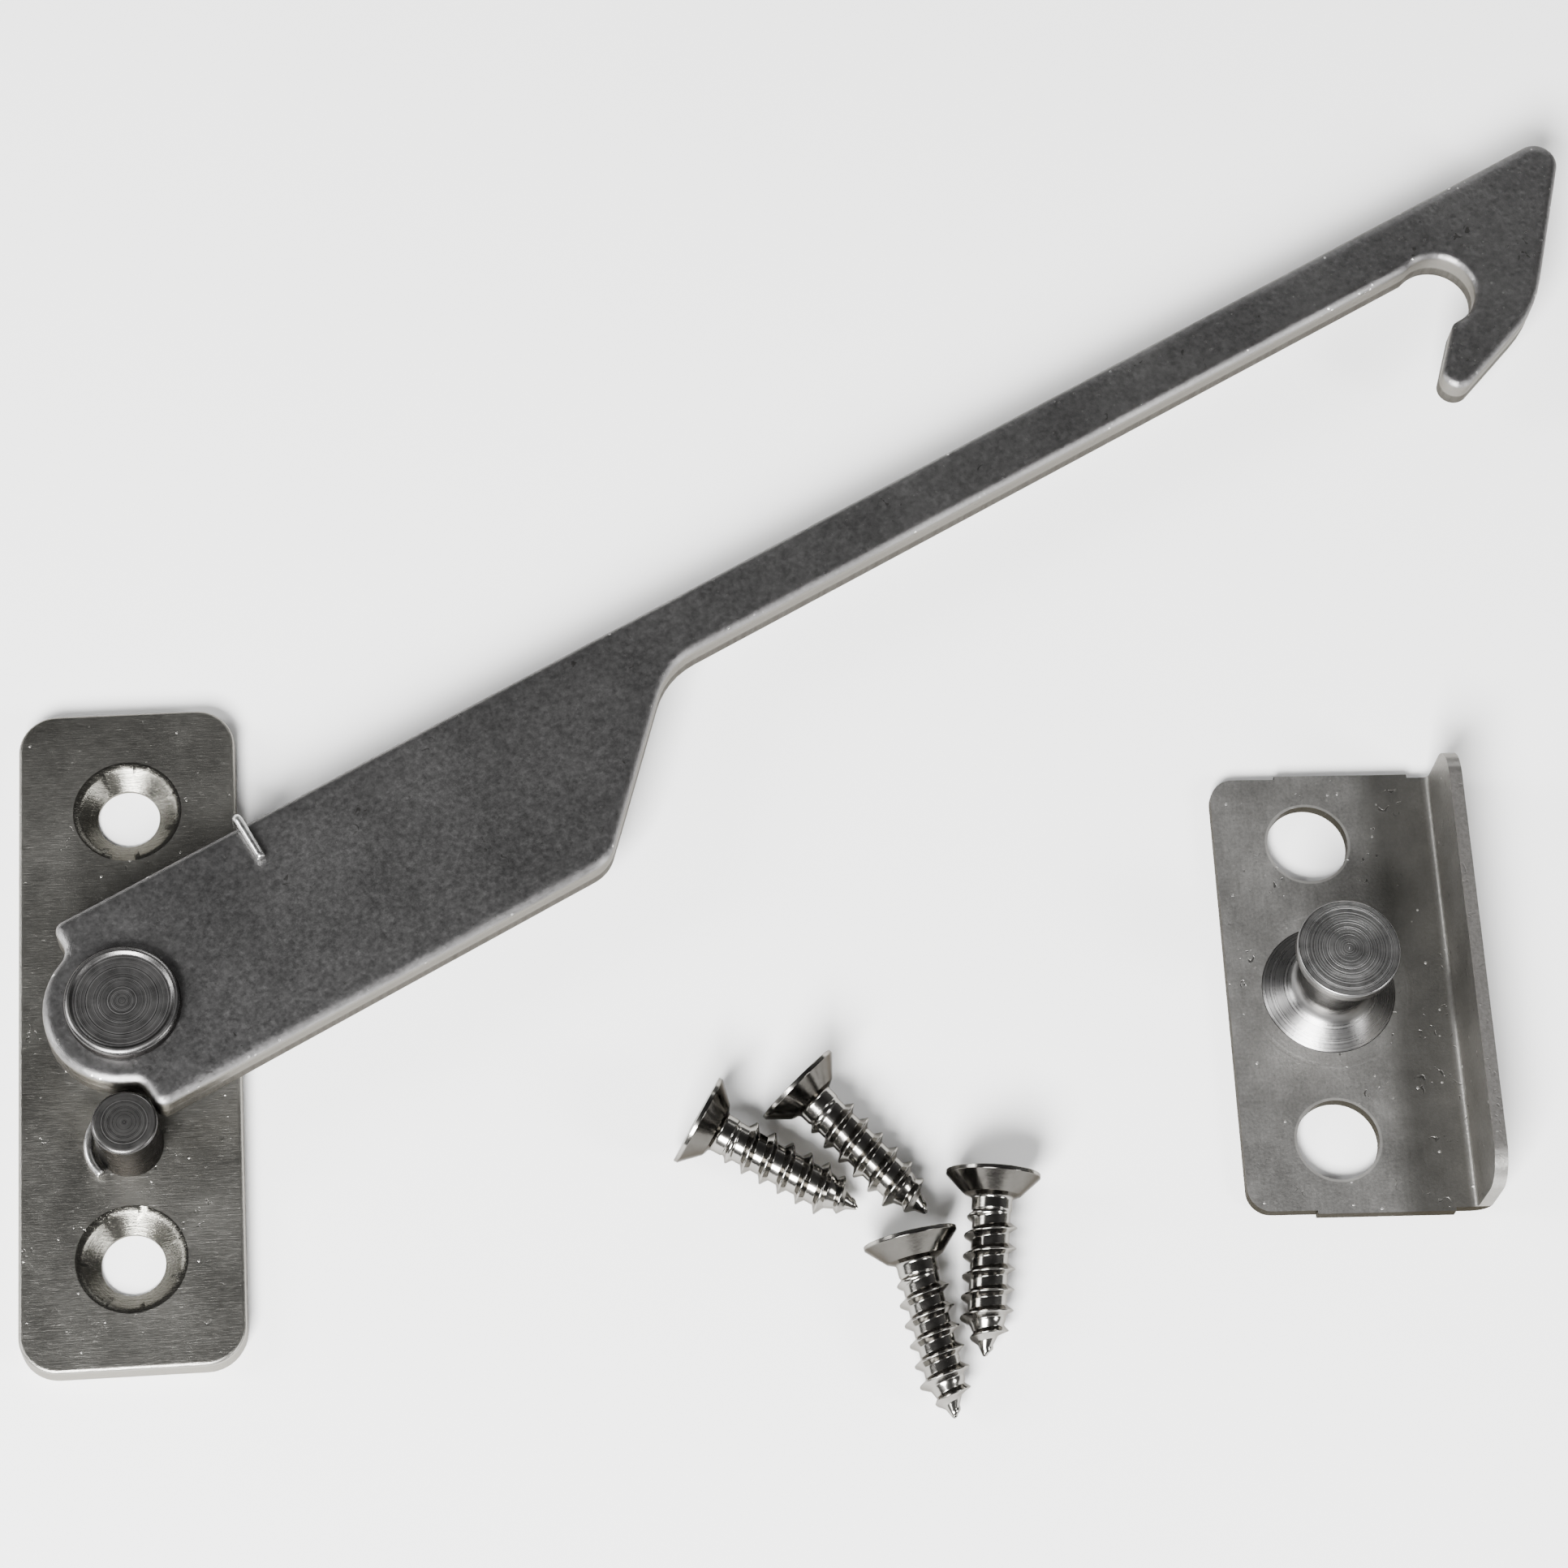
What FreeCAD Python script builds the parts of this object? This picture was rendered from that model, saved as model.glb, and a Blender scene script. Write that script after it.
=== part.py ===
import FreeCAD
import Part
import Sketcher
import math
import os
from FreeCAD import Vector

# A sprung hook-arm window restrictor, laid out loose on a flat surface.  The base plate carries the
# pivoting arm, its stop stud and its torsion spring.  The catch plate with its headed pin and four
# countersunk screws lie beside it.  The origin is the foot of the pivot axis on the underside of the
# base plate, +Z is up and +Y runs along the base plate.  Sizes are in millimetres and degrees.

doc = FreeCAD.newDocument("WindowRestrictor")

# name, value, what it is
SIZES = [
    ("plate_length", 57.3, "base plate, end to end"),
    ("plate_width", 18.0, "base plate, side to side"),
    ("plate_thick", 2.0, "base plate stock"),
    ("plate_corner", 3.2, "base plate corner radius"),
    ("plate_edge", 0.35, "rolled-over top edge of the base plate"),
    ("screw_spacing", 39.1, "between the base plate's screw holes"),
    ("screw_hole", 2.58, "screw hole radius in the base plate"),
    ("sink_rim", 4.5, "radius of the countersinks at the top face"),
    ("sink_land", 0.35, "straight wall left under a countersink"),
    ("arm_gap", 2.5, "base plate to the arm's underside"),
    ("arm_thick", 3.0, "arm stock"),
    ("arm_half", 9.1, "half the width of the arm's blade"),
    ("arm_edge", 0.5, "rolled-over top edge of the arm"),
    ("lobe_gap", 0.85, "arm's round end to the stop stud that it turns past"),
    ("lobe_blend", 1.3, "inner corner between round end and shoulder"),
    ("shoulder", 1.7, "shoulders' setback behind the pivot"),
    ("shoulder_corner", 0.9, "shoulder corner radius"),
    ("blade_length", 40.3, "pivot to the belly corner"),
    ("belly_corner", 3.5, "belly corner radius"),
    ("belly_slope", 44.2, "belly edge to the arm's line, degrees"),
    ("bar_width", 5.23, "narrow bar"),
    ("neck_blend", 7.0, "inner corner between belly edge and bar"),
    ("mouth_reach", 132.4, "pivot to the hook mouth's centre, along the arm"),
    ("mouth", 3.4, "hook mouth radius"),
    ("mouth_rise", 0.25, "depth that the mouth bites into the bar"),
    ("mouth_blend", 1.5, "corner between bar and mouth"),
    ("lip_drop", 2.72, "mouth centre down to the barb's inner edge"),
    ("lip_round", 1.0, "lip radius"),
    ("barb_reach", 8.9, "mouth centre back to the barb's sharp end"),
    ("barb_drop", 11.15, "mouth centre down to the barb's sharp end"),
    ("barb_round", 1.4, "barb end radius"),
    ("heel_reach", 6.6, "mouth centre out to the heel corner"),
    ("heel_drop", 6.0, "mouth centre down to the heel corner"),
    ("heel_round", 13.0, "heel radius"),
    ("nose_reach", 20.35, "mouth centre out to the nose's sharp corner"),
    ("nose_round", 1.95, "nose radius"),
    ("head", 4.7, "rivet head radius"),
    ("head_height", 1.4, "rivet head height"),
    ("head_round", 0.4, "rivet head's rolled rim"),
    ("dish", 4.15, "radius of the dish in the rivet head"),
    ("dish_slope", 0.4, "width of the dish's sloping side"),
    ("dish_depth", 0.25, "depth of the dish"),
    ("shank", 2.8, "rivet shank radius in bush and arm"),
    ("tail", 2.0, "rivet and stud tails' radius in the plate"),
    ("tail_flare", 2.9, "radius of the riveted-over tails"),
    ("flare_depth", 0.8, "depth of the riveted-over tails"),
    ("run_gap", 0.05, "running clearance, radial and on faces"),
    ("bush_wall", 0.7, "wall of the spacer bush"),
    ("stud", 2.65, "stop stud radius"),
    ("stud_height", 5.75, "stop stud above the base plate"),
    ("stud_round", 0.3, "stud top edge"),
    ("stud_place", 10.0, "pivot to stop stud"),
    ("stop_gap", 0.3, "shoulder to stud at rest"),
    ("wire", 0.375, "spring wire radius"),
    ("coil", 4.6, "coil mean radius"),
    ("coil_pack", 1.03, "turn-to-turn distance in wire diameters, at least"),
    ("wire_gap", 0.06, "spring wire to the faces it lies on"),
    ("wrap_gap", 0.35, "fixed leg to the stud it hooks round"),
    ("wrap_end", 226.0, "angle where the hooked leg ends, degrees"),
    ("leg_reach", 15.75, "pivot to the moving leg, along the arm"),
    ("leg_lap", 3.6, "moving leg's length on the arm's top face"),
    ("leg_gap", 0.35, "moving leg to the arm's edge"),
    ("leg_lift", 0.1, "moving leg to the arm's top face"),
    ("leg_bend", 0.65, "bend radius of the moving leg"),
    ("catch_x", 99.2, "catch plate's place"),
    ("catch_y", -1.4, "catch plate's place"),
    ("catch_turn", -1.87, "catch plate's turn, degrees"),
    ("catch_length", 38.7, "catch plate along its flange"),
    ("catch_reach", 8.0, "hole line to the plate's free edge"),
    ("flange_reach", 12.15, "hole line to the flange's outer face"),
    ("flange_height", 8.5, "flange, from the underside"),
    ("flange_corner", 3.0, "flange end corners"),
    ("catch_thick", 1.1, "catch plate stock"),
    ("catch_corner", 2.0, "catch plate corner radius"),
    ("bend", 0.5, "inner bend radius of the flange"),
    ("catch_spacing", 26.6, "between the catch plate's holes"),
    ("catch_hole", 3.45, "catch plate hole radius"),
    ("tab_start", -2.3, "parting tab, near end"),
    ("tab_end", 9.2, "parting tab, flange end"),
    ("tab_proud", 0.3, "parting tab, proud of the edge"),
    ("pin_place", 0.5, "hole line to the pin"),
    ("pin_foot", 5.65, "pin's flared foot radius"),
    ("foot_edge", 0.3, "height of the foot's rim"),
    ("seat_depth", 0.3, "depth of the round seat that the foot is pressed into"),
    ("pin_tail", 2.2, "pin tail radius in the plate"),
    ("pin_neck", 2.85, "pin neck radius"),
    ("pin_head", 4.28, "pin head radius"),
    ("head_land", 1.1, "height of the pin head's straight side"),
    ("head_taper", 1.5, "height of the cone under the pin head"),
    ("foot_top", 2.9, "underside of the plate to the top of the foot's cone"),
    ("foot_blend", 2.0, "blend from foot to neck"),
    ("neck_length", 5.0, "neck that the hook takes hold of, with its blend"),
    ("pin_chamfer", 0.25, "pin head's top edge"),
    ("fixed_gap", 0.02, "fitting gap of tails and shanks in holes"),
    ("screw_length", 15.0, "screw, end to end"),
    ("screw_head", 3.85, "screw head radius"),
    ("screw_rim", 0.35, "straight rim of the screw head"),
    ("screw_cone", 1.5, "height of the cone under the screw head"),
    ("screw_waist", 2.35, "radius where the cone ends"),
    ("screw_under", 0.3, "height of the undercut between cone and neck"),
    ("screw_neck", 1.65, "screw neck radius"),
    ("screw_core", 1.55, "screw core radius"),
    ("thread", 2.15, "thread crest radius"),
    ("pitch", 1.67, "thread pitch"),
    ("screw_collar", 3.1, "head top to the end of the neck"),
    ("thread_start", 3.2, "head top to the first thread"),
    ("thread_root", 0.9, "width of the thread at its root"),
    ("thread_crest", 0.12, "width of the thread at its crest"),
    ("thread_sink", 0.15, "thread root below the core's surface"),
    ("tip_length", 2.9, "gimlet point"),
    ("recess_arm", 2.2, "cross recess, centre to the end of a slot"),
    ("recess_slot", 0.85, "cross recess slot width"),
    ("recess_depth", 1.6, "cross recess depth"),
    ("overcut", 1.0, "how far cuts run past the faces they open"),
    ("loose_gap", 0.3, "between loose screws, seen from above"),
    ("pair_a_x", 45.7, "first screw's head, first pair"),
    ("pair_a_y", -10.9, "first screw's head, first pair"),
    ("pair_a_turn", -31.0, "first screw's direction, degrees"),
    ("pair_a_step", 5.8, "second head's place along the first screw"),
    ("pair_a_splay", -16.9, "second screw's turn from the first, degrees"),
    ("pair_b_x", 69.5, "first screw's head, second pair"),
    ("pair_b_y", -16.8, "first screw's head, second pair"),
    ("pair_b_turn", -97.4, "first screw's direction, degrees"),
    ("pair_b_step", 5.9, "second head's place along the first screw"),
    ("pair_b_splay", 17.3, "second screw's turn from the first, degrees"),
]

sheet = doc.addObject("Spreadsheet::Sheet", "Sizes")
for row, (alias, value, note) in enumerate(SIZES, 1):
    sheet.set(f"A{row}", alias)
    sheet.set(f"B{row}", str(value))
    sheet.setAlias(f"B{row}", alias)
    sheet.set(f"C{row}", note)
doc.recompute()

ALIASES = sorted((alias for alias, _, _ in SIZES), key=len, reverse=True)


def bound(formula):
    """A formula of size names, with each name pointing at its cell."""
    words = []
    word = ""
    for letter in formula + " ":
        if letter.isalnum() or letter == "_":
            word += letter
            continue
        words.append(f"Sizes.{word}" if word in ALIASES else word)
        words.append(letter)
        word = ""
    return "".join(words).strip()


def size(formula):
    """The number that a formula of size names comes to."""
    answer = sheet.evalExpression(bound(formula))
    return float(getattr(answer, "Value", answer))


# ---- making bodies, sketches and features -------------------------------------------------------

def new_body(name):
    body = doc.addObject("PartDesign::Body", name)
    body.Label = name
    return body


def new_sketch(body, name, plane="XY_Plane", along="0", lift="0"):
    """An empty sketch on one of the body's own planes, shifted along it or lifted off it."""
    sketch = body.newObject("Sketcher::SketchObject", name)
    support = next(p for p in body.Origin.OriginFeatures if p.Role == plane)
    sketch.AttachmentSupport = (support, "")
    sketch.MapMode = "FlatFace"
    sketch.setExpression("AttachmentOffset.Base.x", bound(along))
    sketch.setExpression("AttachmentOffset.Base.z", bound(lift))
    doc.recompute()
    return sketch


def hold_point(sketch, item, end, x, y):
    """Ties one point of a sketch to formulas for its two coordinates."""
    for kind, formula in (("DistanceX", x), ("DistanceY", y)):
        row = sketch.addConstraint(
            Sketcher.Constraint(kind, -1, 1, item, end, size(formula)))
        sketch.setExpression(f"Constraints[{row}]", bound(formula))


def draw_outline(sketch, corners):
    """A closed outline of straight lines through corners given as pairs of formulas."""
    points = [Vector(size(x), size(y), 0) for x, y in corners]
    for start, end in zip(points, points[1:] + points[:1]):
        sketch.addGeometry(Part.LineSegment(start, end))
    count = len(points)
    for item in range(count):
        sketch.addConstraint(
            Sketcher.Constraint("Coincident", item, 2, (item + 1) % count, 1))
    for item, (x, y) in enumerate(corners):
        hold_point(sketch, item, 1, x, y)


def draw_circle(sketch, x, y, radius):
    item = sketch.addGeometry(
        Part.Circle(Vector(size(x), size(y), 0), Vector(0, 0, 1), size(radius)))
    hold_point(sketch, item, 3, x, y)
    row = sketch.addConstraint(Sketcher.Constraint("Radius", item, size(radius)))
    sketch.setExpression(f"Constraints[{row}]", bound(radius))


def add_feature(body, kind, name, sketch, **settings):
    """A PartDesign feature made from a sketch; it must change the body's volume."""
    before = body.Shape.Volume if body.Tip else 0.0
    feature = body.newObject(kind, name)
    feature.Profile = sketch
    for key, value in settings.items():
        if isinstance(value, str) and key in ("Length", "Pitch", "Height"):
            feature.setExpression(key, bound(value))
        else:
            setattr(feature, key, value)
    sketch.Visibility = False
    doc.recompute()
    if abs(body.Shape.Volume - before) < 1e-6:
        raise RuntimeError(f"{name} changed nothing")
    return feature


def pad(body, name, corners, length, lift="0"):
    sketch = new_sketch(body, f"{name}_sketch", lift=lift)
    draw_outline(sketch, corners)
    return add_feature(body, "PartDesign::Pad", name, sketch, Length=length)


def through_hole(body, name, x, y, radius):
    sketch = new_sketch(body, f"{name}_sketch")
    draw_circle(sketch, x, y, radius)
    return add_feature(body, "PartDesign::Pocket", name, sketch, Type="ThroughAll", Midplane=True)


def turn(body, name, profile, kind="PartDesign::Revolution", along="0", lift="0"):
    """Turns a profile of (radius, height) corners about a vertical axis, as metal or as a cut."""
    sketch = new_sketch(body, f"{name}_sketch", "XZ_Plane", along, lift)
    draw_outline(sketch, profile)
    return add_feature(body, kind, name, sketch,
                       ReferenceAxis=(sketch, ["V_Axis"]), Angle=360.0)


def round_edges(body, name, radius, wanted):
    """Fillets the edges of the body so far that pass a test."""
    base = body.Tip
    names = [f"Edge{n}" for n, edge in enumerate(base.Shape.Edges, 1) if wanted(edge)]
    if not names:
        raise RuntimeError(f"{name} found no edge")
    fillet = body.newObject("PartDesign::Fillet", name)
    fillet.Base = (base, names)
    fillet.setExpression("Radius", bound(radius))
    doc.recompute()
    return fillet


def upright_at(places):
    """A test for straight upright edges at given (x, y) formulas of a body's own frame."""
    spots = [(size(x), size(y)) for x, y in places]

    def wanted(edge):
        ends = [v.Point for v in edge.Vertexes]
        if len(ends) != 2 or abs(ends[0].z - ends[1].z) < 1e-4:
            return False
        return any(all(math.hypot(p.x - x, p.y - y) < 1e-3 for p in ends) for x, y in spots)

    return wanted


def flat_at(height, outside=0.0):
    """A test for edges that lie at one height, wider than a radius about the body's origin."""
    level = size(height)

    def wanted(edge):
        box = edge.BoundBox
        reach = max(abs(box.XMin), abs(box.XMax), abs(box.YMin), abs(box.YMax))
        level_there = abs(box.ZMin - level) < 1e-3 and abs(box.ZMax - level) < 1e-3
        return level_there and reach > outside + 1e-3

    return wanted


def place(body, x="0", y="0", z="0", turn_by="0"):
    body.setExpression("Placement.Base.x", bound(x))
    body.setExpression("Placement.Base.y", bound(y))
    body.setExpression("Placement.Base.z", bound(z))
    body.setExpression("Placement.Rotation.Angle", bound(f"({turn_by}) * 1 deg"))
    doc.recompute()


# ---- heights and directions that several pieces share -------------------------------------------

ARM_FLOOR = "plate_thick + arm_gap"
ARM_TOP = f"{ARM_FLOOR} + arm_thick"
BAR_LOW = "arm_half - bar_width"
MOUTH_Y = f"{BAR_LOW} - mouth + mouth_rise"
LOBE = "(stud_place - stud - lobe_gap)"
# The arm rests with its lower shoulder one stop gap short of the stud.
REST_TURN = "acos(-(shoulder + stud + stop_gap) / stud_place) / 1 deg - 90"


# ---- base plate and what is fixed to it ---------------------------------------------------------

def tail_hole(body, name, along, lift):
    """A hole for a tail that is riveted over into a countersink under the plate."""
    turn(body, name, [
        ("0", "-overcut"),
        ("tail_flare + fixed_gap", "-overcut"),
        ("tail_flare + fixed_gap", "0"),
        ("tail + fixed_gap", "flare_depth"),
        ("tail + fixed_gap", "plate_thick + overcut"),
        ("0", "plate_thick + overcut"),
    ], "PartDesign::Groove", along, lift)


def make_base_plate():
    body = new_body("base_plate")
    x, y = "plate_width / 2", "plate_length / 2"
    corners = [(f"-{x}", f"-{y}"), (x, f"-{y}"), (x, y), (f"-{x}", y)]
    pad(body, "plate", corners, "plate_thick")
    round_edges(body, "plate_corners", "plate_corner", upright_at(corners))
    round_edges(body, "plate_edges", "plate_edge", flat_at("plate_thick"))
    for name, side in (("upper_sink", "-"), ("lower_sink", "")):
        turn(body, name, [
            ("0", "-overcut"),
            ("screw_hole", "-overcut"),
            ("screw_hole", "sink_land"),
            ("sink_rim", "plate_thick"),
            ("sink_rim", "plate_thick + overcut"),
            ("0", "plate_thick + overcut"),
        ], "PartDesign::Groove", lift=f"{side}screw_spacing / 2")
    tail_hole(body, "rivet_hole", "0", "0")
    tail_hole(body, "stud_hole", "0", "stud_place")


def make_pivot_rivet():
    body = new_body("pivot_rivet")
    seat = f"{ARM_TOP} + run_gap"
    top = f"{seat} + head_height"
    turn(body, "rivet", [
        ("0", "0"),
        ("tail_flare", "0"),
        ("tail", "flare_depth"),
        ("tail", "plate_thick"),
        ("shank", "plate_thick"),
        ("shank", seat),
        ("head", seat),
        ("head", top),
        ("dish", top),
        ("dish - dish_slope", f"{top} - dish_depth"),
        ("0", f"{top} - dish_depth"),
    ])
    round_edges(body, "head_rim", "head_round", flat_at(top, size("dish")))


def make_spacer_bush():
    body = new_body("spacer_bush")
    inner, top = "shank + run_gap", f"{ARM_FLOOR} - run_gap"
    turn(body, "bush", [
        (inner, "plate_thick"),
        (f"{inner} + bush_wall", "plate_thick"),
        (f"{inner} + bush_wall", top),
        (inner, top),
    ])


def make_stop_stud():
    body = new_body("stop_stud")
    top = "plate_thick + stud_height"
    turn(body, "stud_metal", [
        ("0", "0"),
        ("tail_flare", "0"),
        ("tail", "flare_depth"),
        ("tail", "plate_thick"),
        ("stud", "plate_thick"),
        ("stud", top),
        ("0", top),
    ])
    round_edges(body, "stud_edge", "stud_round", flat_at(top))
    place(body, y="-stud_place")


# ---- torsion spring -----------------------------------------------------------------------------

def polar(radius, degrees, height, centre=(0.0, 0.0)):
    angle = math.radians(degrees)
    return Vector(centre[0] + radius * math.cos(angle), centre[1] + radius * math.sin(angle), height)


def quarter_bend(corner, coming, leaving, radius, steps=6):
    """Points of the arc that rounds a right-angled corner between two unit directions."""
    centre = corner - coming * radius + leaving * radius
    angles = [math.pi / 2 * step / steps for step in range(steps + 1)]
    return [centre + coming * (radius * math.sin(a)) - leaving * (radius * math.cos(a))
            for a in angles]


def spring_path():
    """The wire's centre line: round the stud, along to the coil, up the coil, out under the arm,
    up past the arm's edge and back over its top face."""
    wire, coil = size("wire"), size("coil")
    low = size("plate_thick + wire_gap + wire")
    high = size(f"{ARM_FLOOR} - wire_gap - wire")
    stud_centre = (0.0, -size("stud_place"))
    wrap = size("stud + wrap_gap + wire")
    rest = size(REST_TURN)

    # The fixed leg crosses from the coil's right side to the stud's left side.
    start = -90 + math.degrees(math.acos((coil + wrap) / size("stud_place")))
    sweep = size("wrap_end") - (start + 180)
    points = [polar(wrap, size("wrap_end") - sweep * n / 6, low, stud_centre) for n in range(7)]
    coil_foot = polar(coil, start, low)
    points += [points[-1] + (coil_foot - points[-1]) * share for share in (0.33, 0.67)]

    # The moving leg leaves the coil straight towards its place at the arm's upper edge.
    edge = Vector(size("leg_reach"), size("arm_half + wire + leg_gap"), high)
    reach = math.hypot(edge.x, edge.y)
    finish = rest + math.degrees(math.atan2(edge.y, edge.x) - math.acos(coil / reach))
    part_turn = (finish - start) % 360
    room = (high - low) / (2 * wire * size("coil_pack"))
    whole_turns = max(1, math.floor(room - part_turn / 360))
    coil_sweep = 360 * whole_turns + part_turn
    steps = round(coil_sweep / 24)
    for n in range(steps + 1):
        share = n / steps
        points.append(polar(coil, start + coil_sweep * share, low + (high - low) * share))

    turn_to_rest = FreeCAD.Rotation(Vector(0, 0, 1), rest)
    up = Vector(0, 0, 1)
    corner = turn_to_rest.multVec(edge)
    along = (corner - points[-1]).normalize()
    inward = turn_to_rest.multVec(Vector(0, -1, 0))
    bend = size("leg_bend")
    coil_head = points[-1]
    under = corner - along * bend
    points += [coil_head + (under - coil_head) * share for share in (0.25, 0.5, 0.75)]
    points += quarter_bend(corner, along, up, bend)
    top_corner = corner + up * (size(f"{ARM_TOP} + leg_lift + wire") - high)
    points += quarter_bend(top_corner, up, inward, bend)
    lap = size("leg_lap + leg_gap + wire")
    points += [top_corner + inward * (bend + (lap - bend) * share) for share in (0.5, 1.0)]
    return points


def make_torsion_spring():
    points = spring_path()
    line = Part.BSplineCurve()
    line.interpolate(points)
    tangent = line.tangent(line.FirstParameter)[0]
    section = Part.Wire(Part.Circle(points[0], tangent, size("wire")).toShape())
    spring = doc.addObject("Part::Feature", "torsion_spring")
    spring.Label = "torsion_spring"
    spring.Shape = Part.Wire(line.toShape()).makePipeShell([section], True, False)


# ---- arm ----------------------------------------------------------------------------------------

def make_hook_arm():
    body = new_body("hook_arm")
    shoulders = [("-shoulder", "-arm_half"), ("-shoulder", "arm_half")]
    belly = ("blade_length", "-arm_half")
    neck = ("blade_length + (2 * arm_half - bar_width) / tan(belly_slope * 1 deg)", BAR_LOW)
    barb = ("mouth_reach - barb_reach", f"{MOUTH_Y} - barb_drop")
    heel = ("mouth_reach + heel_reach", f"{MOUTH_Y} - heel_drop")
    nose = ("mouth_reach + nose_reach", "arm_half")
    pad(body, "blade", [
        shoulders[0],
        belly,
        neck,
        ("mouth_reach", BAR_LOW),
        ("mouth_reach", f"{MOUTH_Y} - lip_drop"),
        barb,
        heel,
        nose,
        shoulders[1],
    ], "arm_thick")

    sketch = new_sketch(body, "lobe_sketch")
    draw_circle(sketch, "0", "0", LOBE)
    add_feature(body, "PartDesign::Pad", "round_end", sketch, Length="arm_thick")
    through_hole(body, "hook_mouth", "mouth_reach", MOUTH_Y, "mouth")

    root = f"sqrt({LOBE} ^ 2 - shoulder ^ 2)"
    bite = "mouth_reach - sqrt(mouth ^ 2 - (mouth - mouth_rise) ^ 2)"
    mouth_centre = Vector(size("mouth_reach"), size(MOUTH_Y), 0)

    def lip(edge):
        ends = [v.Point for v in edge.Vertexes]
        if len(ends) != 2 or abs(ends[0].z - ends[1].z) < 1e-4:
            return False
        out = Vector(ends[0].x, ends[0].y, 0) - mouth_centre
        return out.y < 0 and abs(out.Length - size("mouth")) < 1e-3

    for name, radius, wanted in (
        ("shoulder_corners", "shoulder_corner", upright_at(shoulders)),
        ("lobe_blends", "lobe_blend", upright_at([("-shoulder", root), ("-shoulder", f"-{root}")])),
        ("belly_round", "belly_corner", upright_at([belly])),
        ("neck_round", "neck_blend", upright_at([neck])),
        ("mouth_round", "mouth_blend", upright_at([(bite, BAR_LOW)])),
        ("lip_rounding", "lip_round", lip),
        ("barb_rounding", "barb_round", upright_at([barb])),
        ("heel_rounding", "heel_round", upright_at([heel])),
        ("nose_rounding", "nose_round", upright_at([nose])),
    ):
        round_edges(body, name, radius, wanted)
    through_hole(body, "pivot_hole", "0", "0", "shank + run_gap")
    round_edges(body, "top_edges", "arm_edge", flat_at("arm_thick", size("shank + run_gap")))
    place(body, z=ARM_FLOOR, turn_by=REST_TURN)


# ---- catch plate and pin ------------------------------------------------------------------------

def place_catch(body):
    place(body, "catch_x", "catch_y", turn_by="catch_turn")


def make_catch_plate():
    body = new_body("catch_plate")
    near, far, end = "-catch_reach", "flange_reach", "catch_length / 2"
    tab = f"{end} + tab_proud"
    pad(body, "floor", [
        (near, f"-{end}"),
        ("tab_start", f"-({end})"),
        ("tab_start", f"-({tab})"),
        ("tab_end", f"-({tab})"),
        ("tab_end", f"-({end})"),
        (far, f"-({end})"),
        (far, end),
        ("tab_end", end),
        ("tab_end", tab),
        ("tab_start", tab),
        ("tab_start", end),
        (near, end),
    ], "catch_thick")
    inner = f"{far} - catch_thick"
    pad(body, "flange", [
        (inner, f"-({end})"), (far, f"-({end})"), (far, end), (inner, end),
    ], "flange_height")

    half, high, thick = size(end), size("flange_height"), size("catch_thick")
    inner_x, outer_x = size(inner), size(far)

    def runs_along(edge, x, z):
        box = edge.BoundBox
        there = abs(box.XMin - x) + abs(box.XMax - x) + abs(box.ZMin - z) + abs(box.ZMax - z)
        return there < 1e-3 and box.YLength > 1

    def flange_end(edge):
        box = edge.BoundBox
        return abs(box.ZMin - high) < 1e-3 and abs(abs(box.YMin) - half) < 1e-3 and box.YLength < 1e-3

    round_edges(body, "free_corners", "catch_corner", upright_at([(near, end), (near, f"-({end})")]))
    round_edges(body, "flange_corners", "flange_corner", flange_end)
    round_edges(body, "inner_bend", "bend", lambda edge: runs_along(edge, inner_x, thick))
    round_edges(body, "outer_bend", "bend + catch_thick", lambda edge: runs_along(edge, outer_x, 0))
    for name, side in (("upper_hole", ""), ("lower_hole", "-")):
        through_hole(body, name, "0", f"{side}catch_spacing / 2", "catch_hole")
    through_hole(body, "pin_hole", "pin_place", "0", "pin_tail + fixed_gap")
    turn(body, "pin_seat", [
        ("0", "catch_thick - seat_depth"),
        ("pin_foot + fixed_gap", "catch_thick - seat_depth"),
        ("pin_foot + fixed_gap", "catch_thick + overcut"),
        ("0", "catch_thick + overcut"),
    ], "PartDesign::Groove", along="pin_place")
    place_catch(body)


def make_catch_pin():
    body = new_body("catch_pin")
    seat = "catch_thick - seat_depth"
    neck_top = "foot_top + neck_length"
    land = f"{neck_top} + head_taper"
    top = f"{land} + head_land"
    turn(body, "pin_metal", [
        ("0", "0"),
        ("pin_tail", "0"),
        ("pin_tail", seat),
        ("pin_foot", seat),
        ("pin_foot", f"{seat} + foot_edge"),
        ("pin_neck", "foot_top"),
        ("pin_neck", neck_top),
        ("pin_head", land),
        ("pin_head", top),
        ("0", top),
    ], along="pin_place")
    neck, head = size("pin_neck"), size("pin_head")

    def ring(radius, height):
        def wanted(edge):
            box = edge.BoundBox
            level = abs(box.ZMin - size(height)) + abs(box.ZMax - size(height)) < 1e-3
            return level and abs(box.YLength - 2 * radius) < 1e-3
        return wanted

    round_edges(body, "foot_rounding", "foot_blend", ring(neck, "foot_top"))
    round_edges(body, "pin_edge", "pin_chamfer", ring(head, top))
    place_catch(body)


# ---- screws -------------------------------------------------------------------------------------

# A loose screw lies on its head's rim and on its last full thread.
THREAD_END = "(screw_length - tip_length)"
SCREW_TILT = f"atan((screw_head - thread) / ({THREAD_END} - screw_rim)) / 1 deg"
SCREW_RAISE = f"screw_head * cos({SCREW_TILT} * 1 deg) + screw_rim * sin({SCREW_TILT} * 1 deg)"


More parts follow.
